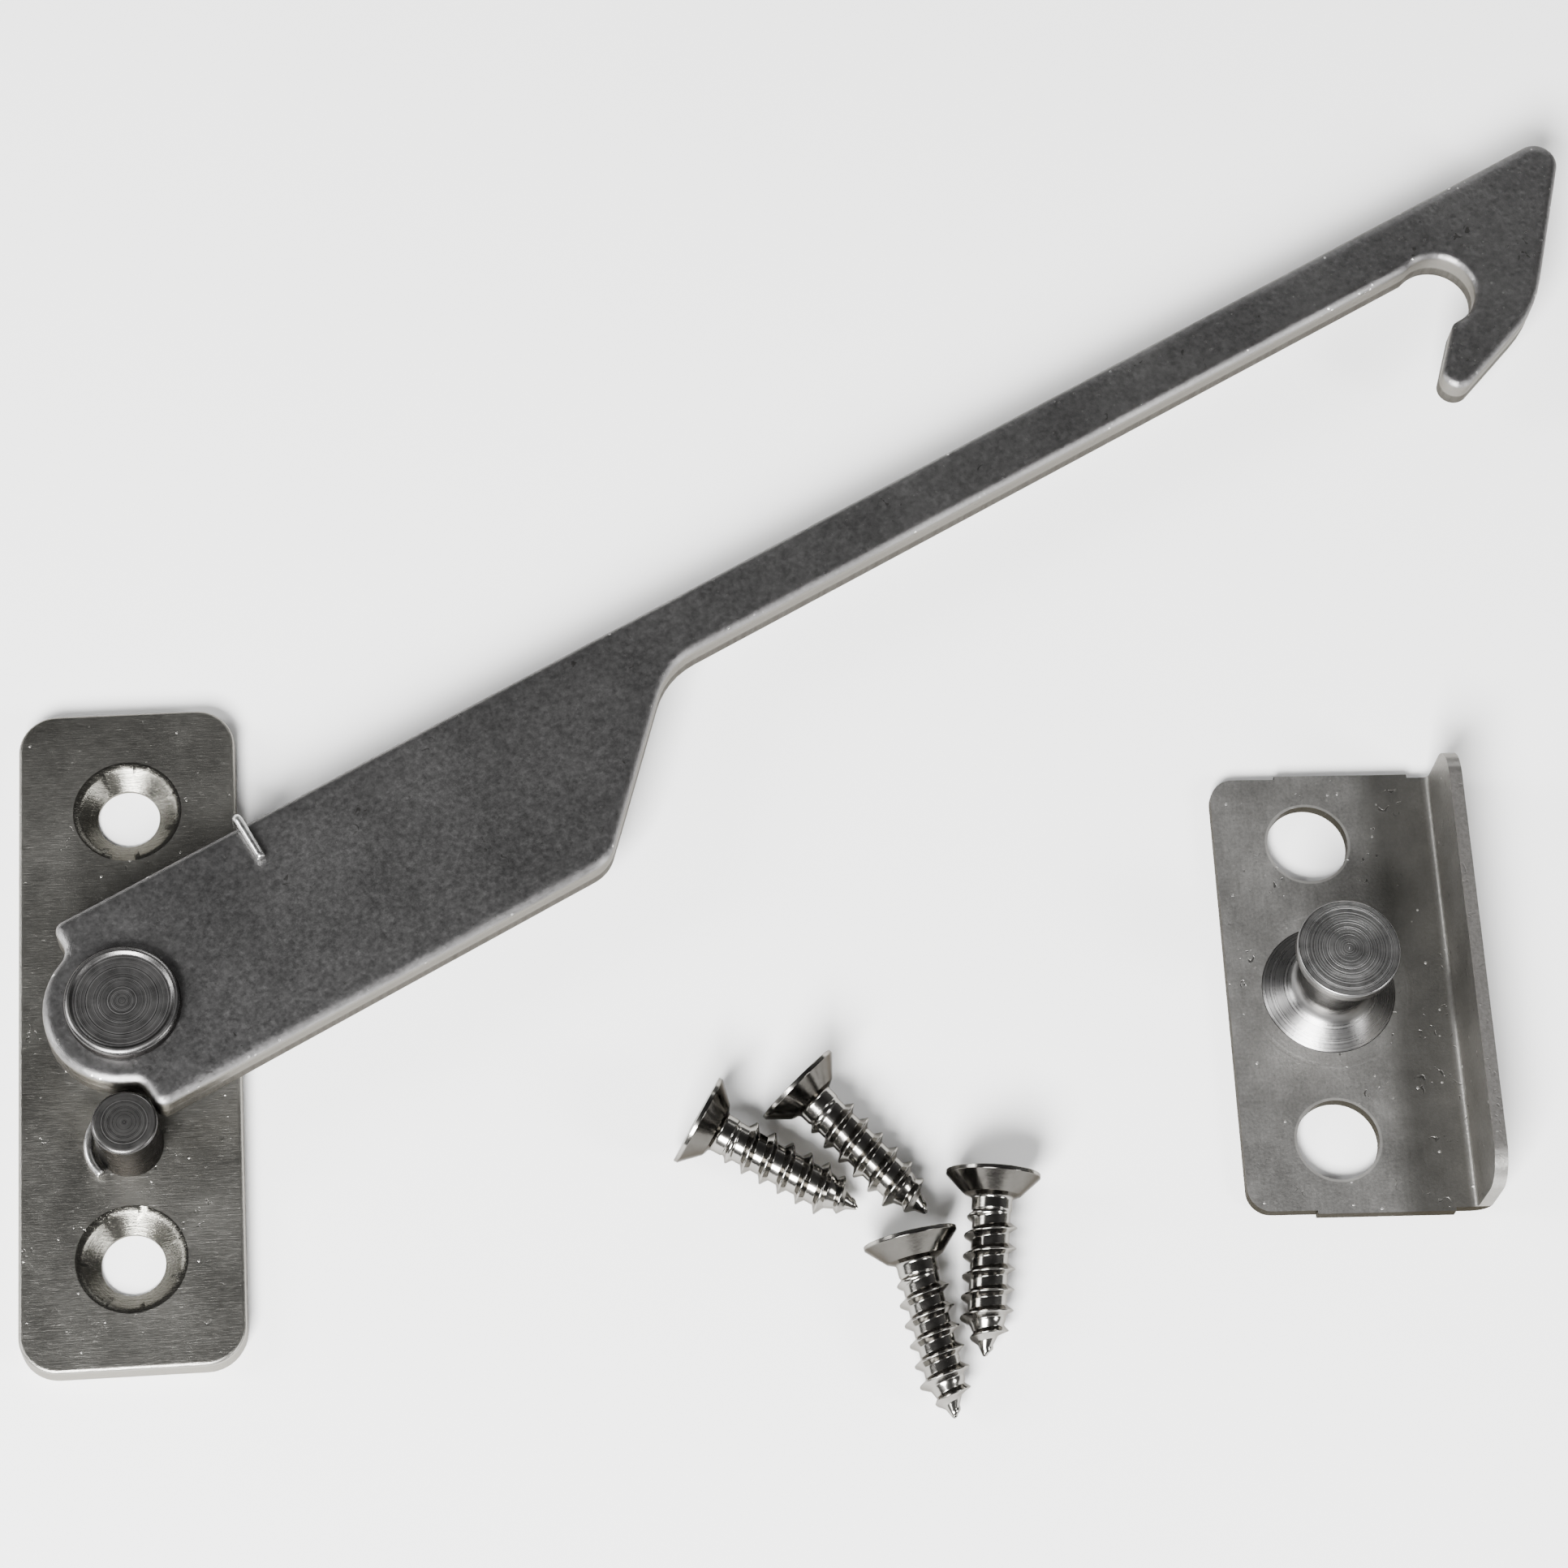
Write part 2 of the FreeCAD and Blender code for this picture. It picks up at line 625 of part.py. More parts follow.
def add_thread(body, name, start, height):
    """A ridge wound round the core."""
    sketch = new_sketch(body, f"{name}_sketch", "XZ_Plane")
    root = "screw_core - thread_sink"
    draw_outline(sketch, [
        (root, start),
        ("thread", f"{start} + (thread_root - thread_crest) / 2"),
        ("thread", f"{start} + (thread_root + thread_crest) / 2"),
        (root, f"{start} + thread_root"),
    ])
    add_feature(body, "PartDesign::AdditiveHelix", name, sketch,
                ReferenceAxis=(sketch, ["V_Axis"]), Mode="pitch-height-angle",
                Pitch="pitch", Height=height, Angle=0.0)


def make_screw(name, x, y, turn_by):
    body = new_body(name)
    turn(body, f"{name}_core", [
        ("0", "0"),
        ("screw_head", "0"),
        ("screw_head", "screw_rim"),
        ("screw_waist", "screw_rim + screw_cone"),
        ("screw_neck", "screw_rim + screw_cone + screw_under"),
        ("screw_neck", "screw_collar"),
        ("screw_core", "screw_collar"),
        ("screw_core", THREAD_END),
        ("0", "screw_length"),
    ])
    add_thread(body, f"{name}_thread", "thread_start",
               f"{THREAD_END} - thread_start - thread_root")
    slot, arm = "recess_slot / 2", "recess_arm"
    sketch = new_sketch(body, f"{name}_recess_sketch")
    draw_outline(sketch, [
        (arm, f"-{slot}"), (arm, slot), (slot, slot), (slot, arm), (f"-{slot}", arm),
        (f"-{slot}", slot), (f"-{arm}", slot), (f"-{arm}", f"-{slot}"), (f"-{slot}", f"-{slot}"),
        (f"-{slot}", f"-{arm}"), (slot, f"-{arm}"), (slot, f"-{slot}"),
    ])
    add_feature(body, "PartDesign::Pocket", f"{name}_recess", sketch,
                Length="recess_depth", Reversed=True)
    body.setExpression("Placement", bound(
        f"placement(vector({x}; {y}; {SCREW_RAISE});"
        f" rotation(vector(0; 0; 1); {turn_by}) * rotation(vector(0; 1; 0); 90 + {SCREW_TILT}))"))
    doc.recompute()


def make_screw_pair(pair, names):
    """Two screws side by side, the second turned across the first one's point but clear of it."""
    x, y, heading = f"{pair}_x", f"{pair}_y", f"{pair}_turn"
    step, splay = f"{pair}_step", f"abs({pair}_splay * 1 deg)"
    side = "-1" if size(f"{pair}_splay") < 0 else "1"
    beside_head = f"screw_head * cos({splay}) + thread + loose_gap"
    beside_point = (f"({THREAD_END} * cos({SCREW_TILT} * 1 deg) - {step}) * tan({splay})"
                    f" + thread / cos({splay}) + thread + loose_gap")
    across = f"(-{side} * max({beside_head}; {beside_point}))"
    turned = f"{heading} * 1 deg"
    make_screw(names[0], x, y, heading)
    make_screw(names[1],
               f"{x} + {step} * cos({turned}) - {across} * sin({turned})",
               f"{y} + {step} * sin({turned}) + {across} * cos({turned})",
               f"({heading} + {pair}_splay)")


# ---- the whole set ------------------------------------------------------------------------------

make_base_plate()
make_pivot_rivet()
make_spacer_bush()
make_stop_stud()
make_torsion_spring()
make_hook_arm()
make_catch_plate()
make_catch_pin()
make_screw_pair("pair_a", ("screw_1", "screw_2"))
make_screw_pair("pair_b", ("screw_3", "screw_4"))
doc.recompute()

for item in doc.Objects:
    if {"Invalid", "Error"} & set(item.State):
        raise RuntimeError(f"{item.Label} failed: {item.State}")

os.makedirs("parts", exist_ok=True)
for item in doc.Objects:
    if item.TypeId not in ("PartDesign::Body", "Part::Feature"):
        continue
    if item.Shape.isNull() or not item.Shape.isValid() or len(item.Shape.Solids) != 1:
        raise RuntimeError(f"{item.Label} is not one sound solid")
    item.Shape.exportStep(f"parts/{item.Label}.step")
    print(item.Label, round(item.Shape.Volume, 2))
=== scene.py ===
import math

import bmesh
import bpy
import numpy as np
from mathutils import Matrix, Vector


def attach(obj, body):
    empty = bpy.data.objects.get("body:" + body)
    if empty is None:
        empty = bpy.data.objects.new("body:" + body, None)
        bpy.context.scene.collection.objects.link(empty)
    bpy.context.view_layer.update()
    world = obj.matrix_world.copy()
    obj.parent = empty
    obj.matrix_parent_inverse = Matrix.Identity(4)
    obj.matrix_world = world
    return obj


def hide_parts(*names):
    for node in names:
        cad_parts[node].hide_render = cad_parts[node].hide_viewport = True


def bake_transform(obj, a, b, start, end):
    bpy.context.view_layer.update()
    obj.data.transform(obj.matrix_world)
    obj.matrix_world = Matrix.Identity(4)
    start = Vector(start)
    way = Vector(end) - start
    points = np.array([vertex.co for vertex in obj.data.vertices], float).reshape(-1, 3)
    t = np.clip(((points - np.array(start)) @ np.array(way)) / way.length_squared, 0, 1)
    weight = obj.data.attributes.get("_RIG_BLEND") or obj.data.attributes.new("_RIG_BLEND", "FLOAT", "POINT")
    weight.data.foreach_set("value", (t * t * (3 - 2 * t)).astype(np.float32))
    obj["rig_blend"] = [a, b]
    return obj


# Looks for a sprung hook-arm window restrictor laid out loose: tumbled steel arm, brushed base plate,
# satin catch plate, turned rivets and pin, drawn spring wire and bright nickel-plated screws.
# Sizes in the dictionaries are in millimetres; mm() turns them into the frame's metres.

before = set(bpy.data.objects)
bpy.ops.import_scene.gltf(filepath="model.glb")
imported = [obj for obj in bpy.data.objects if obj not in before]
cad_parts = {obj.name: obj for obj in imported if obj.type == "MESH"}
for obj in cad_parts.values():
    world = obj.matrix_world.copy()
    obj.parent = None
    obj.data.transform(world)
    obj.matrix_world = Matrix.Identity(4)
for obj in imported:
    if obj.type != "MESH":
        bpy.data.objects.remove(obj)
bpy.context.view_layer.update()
print("frame loaded:", len(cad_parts), "nodes")


def mm(value):
    return np.asarray(value, float) * 0.001


# ---- camera, light and floor ----

cameraSetup = {
    "place": (0.026685, -0.118376, 0.312261),
    "right": (0.99544, -0.07568, 0.05815),
    "up": (0.04542, 0.91152, 0.40873),
    "back": (-0.08394, -0.40422, 0.9108),
    "lens": 92.08,
    "sensor": 36.0,
}

cameraData = bpy.data.cameras.new("camera")
cameraData.lens = cameraSetup["lens"]
cameraData.sensor_width = cameraSetup["sensor"]
cameraData.clip_start = 0.01
cameraData.clip_end = 20
camera = bpy.data.objects.new("camera", cameraData)
bpy.context.scene.collection.objects.link(camera)
axes = Matrix((cameraSetup["right"], cameraSetup["up"], cameraSetup["back"])).transposed()
camera.matrix_world = Matrix.Translation(cameraSetup["place"]) @ axes.to_4x4()
bpy.context.scene.camera = camera

studio = {
    "lookAt": (0.06, 0.01, 0.0),
    # name: azimuth and height angle in degrees, distance, width, height, watts
    "boxes": {
        "keyBox": (-114, 42, 0.8, 0.34, 0.3, 33.0),
        "rightBox": (-30, 30, 0.9, 0.22, 0.22, 5.0),
        "leftBox": (176, 30, 0.9, 0.25, 0.3, 5.0),
        "backBox": (70, 30, 1.0, 0.5, 0.14, 1.2),
    },
    "skyLow": (0.2, 0.2, 0.2, 1),
    "skyHigh": (0.06, 0.06, 0.06, 1),
    "skyPower": 1.0,
    "floor": (0.97, 0.97, 0.965, 1),
}


def addSoftbox(name, azimuth, height, distance, wide, tall, watts):
    light = bpy.data.lights.new(name, "AREA")
    light.shape = "RECTANGLE"
    light.size = wide
    light.size_y = tall
    light.energy = watts
    lamp = bpy.data.objects.new(name, light)
    bpy.context.scene.collection.objects.link(lamp)
    turn, rise = math.radians(azimuth), math.radians(height)
    away = Vector((math.cos(turn) * math.cos(rise), math.sin(turn) * math.cos(rise), math.sin(rise)))
    lamp.location = Vector(studio["lookAt"]) + away * distance
    lamp.rotation_euler = away.to_track_quat("Z", "Y").to_euler()


for boxName, numbers in studio["boxes"].items():
    addSoftbox(boxName, *numbers)


# ---- shader maths ----

class Value:
    # wraps an output socket, so that sums, products and powers of it add Math nodes

    def __init__(self, tree, socket):
        self.tree = tree
        self.socket = socket

    def math(self, operation, *others):
        node = self.tree.nodes.new("ShaderNodeMath")
        node.operation = operation
        for slot, item in zip(node.inputs, (self, *others)):
            if isinstance(item, Value):
                self.tree.links.new(item.socket, slot)
            else:
                slot.default_value = item
        return Value(self.tree, node.outputs[0])

    def swapped(self, operation, first):
        node = self.tree.nodes.new("ShaderNodeMath")
        node.operation = operation
        node.inputs[0].default_value = first
        self.tree.links.new(self.socket, node.inputs[1])
        return Value(self.tree, node.outputs[0])

    def __add__(self, other):
        return self.math("ADD", other)

    __radd__ = __add__

    def __mul__(self, other):
        return self.math("MULTIPLY", other)

    __rmul__ = __mul__

    def __sub__(self, other):
        return self.math("SUBTRACT", other)

    def __rsub__(self, other):
        return self.swapped("SUBTRACT", other)

    def __truediv__(self, other):
        return self.math("DIVIDE", other)

    def band(self, low, high):
        # 0 below low, 1 above high, smooth between
        node = self.tree.nodes.new("ShaderNodeMapRange")
        node.interpolation_type = "SMOOTHSTEP"
        self.tree.links.new(self.socket, node.inputs["Value"])
        node.inputs["From Min"].default_value = low
        node.inputs["From Max"].default_value = high
        return Value(self.tree, node.outputs["Result"])

    def clipped(self):
        node = self.math("ADD", 0.0)
        node.socket.node.use_clamp = True
        return node


class Finish:
    # one material: a Principled shader and the nodes that feed it

    def __init__(self, name, **uniform):
        self.material = bpy.data.materials.new(name)
        self.material.use_nodes = True
        self.tree = self.material.node_tree
        self.shader = self.tree.nodes["Principled BSDF"]
        for key, number in uniform.items():
            self.shader.inputs[key.replace("_", " ")].default_value = number
        if uniform.get("Metallic"):
            self.shader.inputs["Specular Tint"].default_value = (0.42, 0.41, 0.40, 1)

    def node(self, kind, settings=None, values=None, output=0):
        made = self.tree.nodes.new(kind)
        for key, setting in (settings or {}).items():
            setattr(made, key, setting)
        for key, item in (values or {}).items():
            if isinstance(item, Value):
                self.tree.links.new(item.socket, made.inputs[key])
            else:
                made.inputs[key].default_value = item
        return Value(self.tree, made.outputs[output])

    def feed(self, **links):
        for key, item in links.items():
            self.tree.links.new(item.socket, self.shader.inputs[key.replace("_", " ")])

    def place(self, centre=(0, 0, 0), stretch=(1, 1, 1), turn=0.0):
        # Object coordinates centred on a piece, turned about Z by degrees, then stretched
        spot = self.node("ShaderNodeTexCoord", output="Object")
        moved = self.node("ShaderNodeVectorMath", {"operation": "SUBTRACT"}, {0: spot, 1: centre})
        turned = self.node("ShaderNodeVectorRotate", {"rotation_type": "Z_AXIS"},
                           {"Vector": moved, "Angle": math.radians(-turn)})
        return self.node("ShaderNodeVectorMath", {"operation": "MULTIPLY"}, {0: turned, 1: stretch})

    def split(self, vector):
        parts = self.node("ShaderNodeSeparateXYZ", None, {0: vector})
        return [Value(self.tree, output) for output in parts.socket.node.outputs]

    def noise(self, where, scale, detail=3.0, rough=0.55, lean=0.0):
        return self.node("ShaderNodeTexNoise", None, {
            "Vector": where, "Scale": scale, "Detail": detail, "Roughness": rough,
            "Distortion": lean})

    def cells(self, where, scale):
        return self.node("ShaderNodeTexVoronoi", None, {"Vector": where, "Scale": scale}, "Distance")

    def nicks(self, where, scale, amount):
        # short crooked marks in loose groups
        marks = self.noise(where, scale, 1.0, 0.5, 1.2).band(0.66, 0.72)
        groups = self.noise(where, scale * 0.22, 2.0).band(0.62 - amount, 0.72 - amount)
        return marks * groups

    def mix(self, share, first, second):
        made = self.node("ShaderNodeMix", {"data_type": "RGBA"}, {0: share}, output=2)
        for slot, colour in ((6, first), (7, second)):
            if isinstance(colour, Value):
                self.tree.links.new(colour.socket, made.socket.node.inputs[slot])
            else:
                made.socket.node.inputs[slot].default_value = (*colour, 1)
        return made

    def bump(self, height, depth, normal=None):
        values = {"Height": height, "Distance": depth, "Strength": 1.0}
        if normal:
            values["Normal"] = normal
        return self.node("ShaderNodeBump", None, values)

    def ringTilt(self, centre, share, depth):
        # turns the surface's direction in and out from an axis, by a share that changes with the
        # distance from it: the fine turning marks that draw a highlight out sideways
        out = self.node("ShaderNodeVectorMath", {"operation": "NORMALIZE"}, {
            0: self.place(centre=centre, stretch=(1, 1, 0))})
        push = self.node("ShaderNodeVectorMath", {"operation": "SCALE"},
                         {0: out, "Scale": (share - 0.5) * depth})
        bare = self.node("ShaderNodeNewGeometry", output="Normal")
        total = self.node("ShaderNodeVectorMath", {"operation": "ADD"}, {0: bare, 1: push})
        return self.node("ShaderNodeVectorMath", {"operation": "NORMALIZE"}, {0: total})

    def away(self, centre):
        # distance from an upright axis
        return self.node("ShaderNodeVectorMath", {"operation": "LENGTH"},
                         {0: self.place(centre=centre, stretch=(1, 1, 0))}, "Value")

    def rings(self, path):
        # turning marks: a noise that changes along one line only
        return self.node("ShaderNodeTexNoise", {"noise_dimensions": "1D"},
                         {"W": path, "Scale": 1.0, "Detail": 3.0})

    def upward(self):
        # 1 where the surface faces up, 0 on walls
        return self.split(self.node("ShaderNodeNewGeometry", output="Normal"))[2]


def worldLight():
    world = bpy.data.worlds.new("studioSky")
    bpy.context.scene.world = world
    world.use_nodes = True
    nodes, links = world.node_tree.nodes, world.node_tree.links
    spot = nodes.new("ShaderNodeTexCoord")
    apart = nodes.new("ShaderNodeSeparateXYZ")
    ramp = nodes.new("ShaderNodeValToRGB")
    links.new(spot.outputs["Generated"], apart.inputs[0])
    links.new(apart.outputs["Z"], ramp.inputs[0])
    ramp.color_ramp.elements[0].position = 0.25
    ramp.color_ramp.elements[0].color = studio["skyLow"]
    ramp.color_ramp.elements[1].position = 0.85
    ramp.color_ramp.elements[1].color = studio["skyHigh"]
    links.new(ramp.outputs[0], nodes["Background"].inputs["Color"])
    nodes["Background"].inputs["Strength"].default_value = studio["skyPower"]


worldLight()


def makeFloor():
    finish = Finish("floorPaper", Base_Color=studio["floor"], Roughness=0.9)
    mesh = bpy.data.meshes.new("floor")
    reach = 3.0
    mesh.from_pydata([(-reach, -reach, -5e-5), (reach, -reach, -5e-5), (reach, reach, -5e-5),
                      (-reach, reach, -5e-5)], [], [(0, 1, 2, 3)])
    mesh.materials.append(finish.material)
    floor = bpy.data.objects.new("floor", mesh)
    bpy.context.scene.collection.objects.link(floor)


makeFloor()
print("camera, light and floor ready")


# ---- surfaces ----

def smoothAll(mesh):
    mesh.polygons.foreach_set("use_smooth", np.ones(len(mesh.polygons), bool))


def finishPiece(name, mesh, material, body, nodeName):
    mesh.materials.append(material)
    piece = bpy.data.objects.new(name, mesh)
    bpy.context.scene.collection.objects.link(piece)
    if body:
        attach(piece, body)
    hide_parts(nodeName)
    return piece


def gridMesh(name, points):
    # points[i, j]: rows along the profile, columns round it; the columns close on themselves, and
    # each end row is closed by a fan to its own middle
    rows, columns = points.shape[:2]
    index = np.arange(rows * columns).reshape(rows, columns)
    nextColumn = np.roll(index, -1, axis=1)
    quads = np.stack([index[:-1], nextColumn[:-1], nextColumn[1:], index[1:]], -1).reshape(-1, 4)
    poles = np.array([points[0].mean(0), points[-1].mean(0)])
    first, last = rows * columns, rows * columns + 1
    startFan = np.stack([np.full(columns, first), nextColumn[0], index[0]], -1)
    endFan = np.stack([np.full(columns, last), index[-1], nextColumn[-1]], -1)
    corners = np.concatenate([points.reshape(-1, 3), poles])
    mesh = bpy.data.meshes.new(name)
    mesh.from_pydata(corners.tolist(), [], quads.tolist() + startFan.tolist() + endFan.tolist())
    mesh.validate()
    smoothAll(mesh)
    return mesh


def ringMesh(name, points):
    # as gridMesh, but the last row joins the first one: a closed ring
    rows, columns = points.shape[:2]
    index = np.arange(rows * columns).reshape(rows, columns)
    nextColumn = np.roll(index, -1, axis=1)
    nextRow = np.roll(index, -1, axis=0)
    corner = np.roll(nextRow, -1, axis=1)
    quads = np.stack([index, nextColumn, corner, nextRow], -1).reshape(-1, 4)
    mesh = bpy.data.meshes.new(name)
    mesh.from_pydata(points.reshape(-1, 3).tolist(), [], quads.tolist())
    mesh.validate()
    smoothAll(mesh)
    return mesh


def roundedProfile(corners, steps=7):
    # corners are (radius, height, rounding); each corner with a rounding becomes an arc through it
    places = np.array([c[:2] for c in corners], float)
    out = []
    for n, (spot, rounding) in enumerate(zip(places, [c[2] for c in corners])):
        if rounding <= 0 or n in (0, len(corners) - 1):
            out.append(spot[None])
            continue
        before, after = places[n - 1] - spot, places[n + 1] - spot
        before, after = before / np.linalg.norm(before), after / np.linalg.norm(after)
        half = math.acos(np.clip(before @ after, -1, 1)) / 2
        setback = rounding / math.tan(half)
        middle = spot + (before + after) / np.linalg.norm(before + after) * rounding / math.sin(half)
        start, end = spot + before * setback - middle, spot + after * setback - middle
        share = np.linspace(0, 1, steps)[:, None]
        swing = math.acos(np.clip(start @ end / rounding ** 2, -1, 1))
        arc = (np.sin((1 - share) * swing) * start + np.sin(share * swing) * end) / math.sin(swing)
        out.append(middle + arc)
    return np.concatenate(out)


def spread(profile, step):
    # the same line with no gap longer than step, its corners kept
    gaps = np.linalg.norm(np.diff(profile, axis=0), axis=1)
    pieces = [np.linspace(a, b, max(1, math.ceil(g / step)) + 1)[:-1]
              for a, b, g in zip(profile[:-1], profile[1:], gaps)]
    return np.concatenate([*pieces, profile[-1:]])


def lathe(profile, centre, columns=128):
    # point(row, angle) = centre + (radius cos angle, radius sin angle, height)
    angle = np.linspace(0, 2 * np.pi, columns, endpoint=False)
    radius, height = profile[:, 0][:, None], profile[:, 1][:, None]
    x = centre[0] + radius * np.cos(angle)
    y = centre[1] + radius * np.sin(angle)
    return mm(np.stack([x, y, height + 0 * angle], -1))


def smoothCopy(nodeName, name, sharp=34):
    # a merged copy of a CAD solid, smooth over its rounded edges and sharp at its real ones
    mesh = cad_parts[nodeName].data.copy()
    mesh.name = name
    work = bmesh.new()
    work.from_mesh(mesh)
    bmesh.ops.remove_doubles(work, verts=work.verts, dist=1e-6)
    bmesh.ops.dissolve_degenerate(work, edges=work.edges, dist=1e-7)
    bmesh.ops.dissolve_limit(work, angle_limit=math.radians(0.4), verts=work.verts, edges=work.edges)
    work.to_mesh(mesh)
    work.free()
    mesh.materials.clear()
    smoothAll(mesh)
    mesh.set_sharp_from_angle(angle=math.radians(sharp))
    return mesh


def weighNormals(piece):
    modifier = piece.modifiers.new("flatFaces", "WEIGHTED_NORMAL")
    modifier.mode = "FACE_AREA"
    modifier.weight = 90
    modifier.keep_sharp = True


# ---- base plate ----

basePlate = {
    "tone": (0.33, 0.322, 0.298),
    "dark": (0.18, 0.175, 0.16),
    # sink: painted shade, a darker colour inside the countersinks
    "sink": (0.13, 0.126, 0.108),
    "edge": (0.3, 0.29, 0.265),
    "roughness": 0.34,
    "ringTilt": 0.9,
    "ringsPerMm": 14,
    "holes": (19.55, -19.55),
    "sinkRim": (4.46, 4.54),  # the countersinks' turning marks and their painted shade end between these radii
}


def basePlateFinish(look):
    steel = Finish("brushedBaseSteel", Metallic=1.0)
    spot = steel.place()
    along = steel.place(stretch=(1, 26, 1))
    grain = steel.noise(along, 900, 4.0, 0.6)
    coarse = steel.noise(along, 240, 3.0, 0.5)
    cloud = steel.noise(spot, 160, 4.0, 0.6)
    nicks = steel.nicks(spot, 1500, 0.04)
    # small bumps in the surface, also painted near white in colour: painted glints
    dentGlints = (1 - steel.cells(spot, 700).band(0.04, 0.1)) * steel.noise(spot, 600, 1.0).band(0.5, 0.58)
    tilted = None
    countersunk = None
    for place in look["holes"]:
        centre = (0, place * 0.001, 0)
        off = steel.away(centre)
        near = 1 - off.band(*mm(look["sinkRim"]))
        rings = steel.rings(off * (1000 * look["ringsPerMm"]))
        countersunk = near if countersunk is None else countersunk + near
        marks = (rings - 0.5) * near + 0.5
        push = steel.ringTilt(centre, marks, look["ringTilt"])
        tilted = push if tilted is None else steel.node(
            "ShaderNodeVectorMath", {"operation": "ADD"}, {0: tilted, 1: push})
    wall = 1 - steel.upward().math("ABSOLUTE").band(0.25, 0.75)
    tone = (cloud * 0.5 + coarse * 0.3 + grain * 0.25).clipped()
    colour = steel.mix(tone, look["dark"], look["tone"])
    colour = steel.mix(nicks * 0.7, colour, (0.1, 0.097, 0.09))
    colour = steel.mix(dentGlints * 0.6, colour, (0.85, 0.83, 0.78))
    colour = steel.mix(wall, colour, look["edge"])
    # painted shade: the countersinks are darkened in colour; their turning marks and lower roughness are
    # real
    colour = steel.mix(countersunk * 0.8, colour, look["sink"])
    roughness = look["roughness"] + (grain - 0.5) * 0.22 + (cloud - 0.5) * 0.2 + wall * 0.1
    relief = grain * 0.5 + coarse * 0.4 - nicks * 0.7 + dentGlints * 0.8
    straight = steel.node("ShaderNodeVectorMath", {"operation": "NORMALIZE"}, {0: tilted})
    steel.feed(Base_Color=colour, Roughness=roughness - countersunk * 0.1,
               Normal=steel.bump(relief, 0.000035, normal=straight))
    return steel.material


plate = finishPiece("basePlateSteel", smoothCopy("base_plate", "basePlateSteel"),
                    basePlateFinish(basePlate), "base", "base_plate")
weighNormals(plate)
print("base plate done")


# ---- hook arm ----

hookArm = {
    "turn": 27.71,
    "tone": (0.34, 0.334, 0.333),
    "dark": (0.14, 0.138, 0.138),
    # spark: colour of the painted glints
    "spark": (0.95, 0.94, 0.92),
    "sheared": (0.2, 0.192, 0.175),
    "torn": (0.055, 0.052, 0.046),
    "rolled": 0.001,  # how far the tumbled edges draw the light in, in metres
    "roughness": 0.36,
    "low": 4.5,
    "thick": 3.0,
}


def hookArmFinish(look):
    steel = Finish("tumbledArmSteel", Metallic=1.0)
    spot = steel.place(turn=look["turn"])
    upward = steel.upward()
    top = upward.band(0.6, 0.97)
    wall = 1 - upward.math("ABSOLUTE").band(0.15, 0.55)
    blotch = steel.noise(spot, 1500, 6.0, 0.75)
    smear = steel.noise(spot, 110, 3.0, 0.5)
    fine = steel.noise(spot, 3000, 4.0, 0.7)
    dents = steel.cells(spot, 1500)
    mottled = ((blotch - 0.5) * 0.7 + (smear - 0.5) * 1.2 + (fine - 0.5) * 0.4 + 0.52).clipped()
    colour = steel.mix(mottled, look["dark"], look["tone"])
    # painted highlight: near-white glints painted into the colour in scattered patches, stronger on the
    # walls and rolled edges than on top; they also lower the roughness
    bare = steel.noise(spot, 500, 1.0).band(0.45, 0.55)
    paintedGlints = (1 - steel.cells(spot, 1100).band(0.07, 0.17)) * bare
    colour = steel.mix(paintedGlints * (0.75 + 0.25 * (1 - top)), colour, look["spark"])
    scuffs = steel.nicks(spot, 1200, 0.08)
    colour = steel.mix(scuffs * top * 0.6, colour, look["torn"])
    height = (steel.split(spot)[2] * 1000 - look["low"]) / look["thick"]
    torn = wall * (1 - height.band(0.34, 0.44))
    lines = steel.noise(steel.place(turn=look["turn"], stretch=(1, 1, 0.06)), 3000, 2.0)
    colour = steel.mix(wall, colour, look["sheared"])
    colour = steel.mix(torn * (0.45 + lines * 0.5), colour, look["torn"])
    roughness = (look["roughness"] + (blotch - 0.5) * 0.14 + (fine - 0.5) * 0.1
                 + torn * 0.15 - paintedGlints * 0.15)
    relief = blotch * 0.18 + fine * 0.14 + dents.band(0.0, 0.5) * 0.25 + lines * torn
    rolled = steel.node("ShaderNodeBevel", {"samples": 6}, {"Radius": look["rolled"]})
    steel.feed(Base_Color=colour, Roughness=roughness, Normal=steel.bump(relief, 0.00004, normal=rolled))
    return steel.material


arm = finishPiece("hookArmSteel", smoothCopy("hook_arm", "hookArmSteel"),
                  hookArmFinish(hookArm), "arm", "hook_arm")
weighNormals(arm)
print("hook arm done")


# ---- catch plate ----

catchPlate = {
    "place": (99.2, -1.4),
    "turn": -1.87,
    "tone": (0.62, 0.608, 0.585),
    "dark": (0.36, 0.352, 0.338),
    # band: painted shade beside and on the flange
    "band": (0.17, 0.165, 0.152),
    # edge: painted shade, near black, on the walls and inside the holes
    "edge": (0.022, 0.021, 0.016),
    "holes": (13.3, -13.3),
    # millimetres between which each zone fades in or out
    "holeRim": (3.62, 3.72),
    "flangeShadeStart": (3.6, 6.8),
    "flangeShadeEnd": (10.3, 10.7),
    "wallTop": (1.1, 1.3),
    "flangeTop": (8.35, 8.48),
    "ringIn": (6.6, 6.8),
    "ringOut": (6.9, 7.1),
    "pin": (99.7, -1.416),
    "roughness": 0.39,
}


